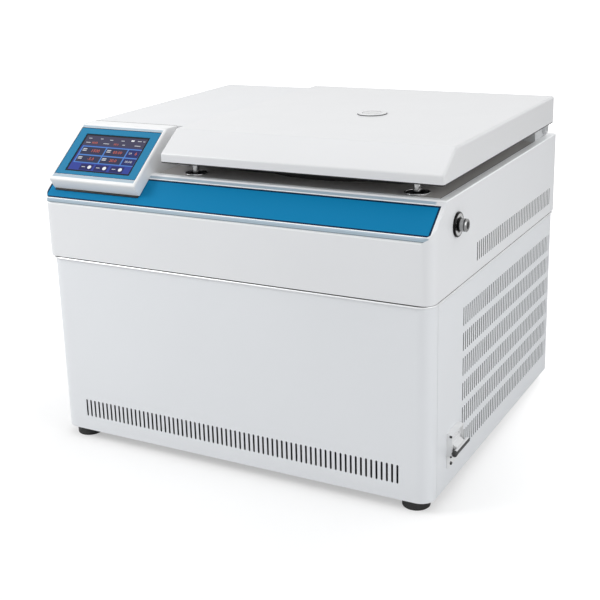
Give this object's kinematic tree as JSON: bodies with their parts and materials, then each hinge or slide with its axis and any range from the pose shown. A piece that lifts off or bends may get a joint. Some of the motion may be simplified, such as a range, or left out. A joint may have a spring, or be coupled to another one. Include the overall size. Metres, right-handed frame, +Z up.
{
  "type": "bench cytocentrifuge",
  "caption": "Bench cytocentrifuge: vented steel cabinet, moulded housing with blue sloped fascia, touch console, hinged lid over a chilled chamber with a slide rotor",
  "frame": {"origin": "on the bench under the feet, midway along the instrument's overall width, lock included, and midway between its front and back", "axes": "+X to the right of someone at the console, +Y to the back, +Z up"},
  "size_m": [0.62, 0.528, 0.478],
  "materials": {
    "housing_white": "fine satin white powder coat",
    "moulded_white": "satin white moulding",
    "blue": "satin blue strip",
    "deck_grey": "satin warm grey paint",
    "screen": "lit touch screen behind black glass",
    "window": "milky sight window",
    "stainless": "brushed stainless steel",
    "steel": "zinc-plated steel",
    "spring_steel": "bright spring steel",
    "chrome": "polished chrome",
    "rubber": "black rubber",
    "rotor_metal": "clear anodised aluminium",
    "knob_black": "black moulding",
    "funnel_white": "white polypropylene",
    "hinge_grey": "light grey casting",
    "breaker_white": "white moulding",
    "breaker_beige": "pale beige moulding",
    "foam": "closed-cell foam",
    "machine_black": "black paint",
    "fins": "bare aluminium fins",
    "inverter_metal": "cast aluminium"
  },
  "bodies": {
    "cabinet": {"base_tray": "steel", "feet": "rubber", "front_panel": "housing_white", "right_side_panel": "housing_white", "left_side_panel": "housing_white", "rear_panel": "housing_white", "power_inlet": "knob_black", "upper_housing": "moulded_white", "fascia_strip": "blue", "deck_panel": "deck_grey", "console_column": "moulded_white", "console_pod": "moulded_white", "console_bezel": "blue", "touch_screen": "screen", "hinge_blocks": "hinge_grey", "hinge_pins": "steel", "pin_grommets": "rubber", "grommet_rings": "chrome", "latch_brackets": "steel", "latch_solenoid": "machine_black", "lock_body": "chrome", "breaker_body": "breaker_white", "breaker_frame": "breaker_beige", "chamber_bowl": "stainless", "chamber_gasket": "rubber", "bowl_insulation": "foam", "spindle_seal": "rubber", "motor_dampers": "rubber", "motor_mount": "steel", "drive_motor": "machine_black", "compressor": "machine_black", "condenser": "fins", "fan_frame": "knob_black", "motor_inverter": "inverter_metal"},
    "lid": {"lid_shell": "moulded_white", "lid_liner": "stainless", "sight_port_ring": "moulded_white", "sight_port_window": "window", "latch_pins": "steel", "hinge_leaves": "steel"},
    "rotor": {"drive_spindle": "steel", "rotor_head": "rotor_metal", "rotor_nut": "knob_black"},
    "latch": {"latch_hooks": "steel"},
    "plunger": {"solenoid_plunger": "machine_black"},
    "key": {"lock_barrel": "chrome"},
    "toggle": {"breaker_toggle": "knob_black"},
    "fan": {"condenser_fan": "knob_black"},
    "carrier_1": {"slide_clip_1": "spring_steel", "sample_funnel_1": "funnel_white"},
    "carrier_2": {"slide_clip_2": "spring_steel", "sample_funnel_2": "funnel_white"},
    "carrier_3": {"slide_clip_3": "spring_steel", "sample_funnel_3": "funnel_white"},
    "carrier_4": {"slide_clip_4": "spring_steel", "sample_funnel_4": "funnel_white"},
    "carrier_5": {"slide_clip_5": "spring_steel", "sample_funnel_5": "funnel_white"},
    "carrier_6": {"slide_clip_6": "spring_steel", "sample_funnel_6": "funnel_white"}
  },
  "joints": [
    {"name": "lid_hinge", "type": "hinge", "parent": "cabinet", "child": "lid", "pos_m": [0.087, 0.236, 0.4255], "axis": [-1, 0, 0], "range_deg": [0, 80]},
    {"name": "rotor_spin", "type": "hinge", "parent": "cabinet", "child": "rotor", "pos_m": [0.085, 0.007, 0.301], "axis": [0, 0, 1], "continuous": true},
    {"name": "latch_turn", "type": "hinge", "parent": "cabinet", "child": "latch", "pos_m": [0.0765, -0.203, 0.372], "axis": [-1, 0, 0], "range_deg": [0, 25]},
    {"name": "plunger_slide", "type": "slide", "parent": "cabinet", "child": "plunger", "axis": [0, 0, 1], "range_m": [0, 0.0064]},
    {"name": "key_turn", "type": "hinge", "parent": "cabinet", "child": "key", "pos_m": [0.296, -0.179, 0.375], "axis": [1, 0, 0], "range_deg": [0, 90]},
    {"name": "toggle_tilt", "type": "hinge", "parent": "cabinet", "child": "toggle", "pos_m": [0.293, -0.179, 0.077], "axis": [0, -1, 0], "range_deg": [0, 70]},
    {"name": "fan_spin", "type": "hinge", "parent": "cabinet", "child": "fan", "pos_m": [-0.162, -0.203, 0.117], "axis": [0, 1, 0], "continuous": true},
    {"name": "carrier_tilt_1", "type": "hinge", "parent": "rotor", "child": "carrier_1", "pos_m": [0.211, 0.007, 0.318], "axis": [0, 1, 0], "range_deg": [0, 14]},
    {"name": "carrier_tilt_2", "type": "hinge", "parent": "rotor", "child": "carrier_2", "pos_m": [0.148, 0.11612, 0.318], "axis": [-0.866, 0.5, 0], "range_deg": [0, 14]},
    {"name": "carrier_tilt_3", "type": "hinge", "parent": "rotor", "child": "carrier_3", "pos_m": [0.022, 0.11612, 0.318], "axis": [-0.866, -0.5, 0], "range_deg": [0, 14]},
    {"name": "carrier_tilt_4", "type": "hinge", "parent": "rotor", "child": "carrier_4", "pos_m": [-0.041, 0.007, 0.318], "axis": [0, -1, 0], "range_deg": [0, 14]},
    {"name": "carrier_tilt_5", "type": "hinge", "parent": "rotor", "child": "carrier_5", "pos_m": [0.022, -0.10212, 0.318], "axis": [0.866, -0.5, 0], "range_deg": [0, 14]},
    {"name": "carrier_tilt_6", "type": "hinge", "parent": "rotor", "child": "carrier_6", "pos_m": [0.148, -0.10212, 0.318], "axis": [0.866, 0.5, 0], "range_deg": [0, 14]}
  ],
  "couplings": [
    {"joint": "latch_turn", "follows": "plunger_slide", "rad_per_m": 68.17},
    {"joint": "key_turn", "follows": "plunger_slide", "rad_per_m": 245.4},
    {"joint": "carrier_tilt_2", "follows": "carrier_tilt_1", "ratio": 1},
    {"joint": "carrier_tilt_3", "follows": "carrier_tilt_1", "ratio": 1},
    {"joint": "carrier_tilt_4", "follows": "carrier_tilt_1", "ratio": 1},
    {"joint": "carrier_tilt_5", "follows": "carrier_tilt_1", "ratio": 1},
    {"joint": "carrier_tilt_6", "follows": "carrier_tilt_1", "ratio": 1}
  ]
}
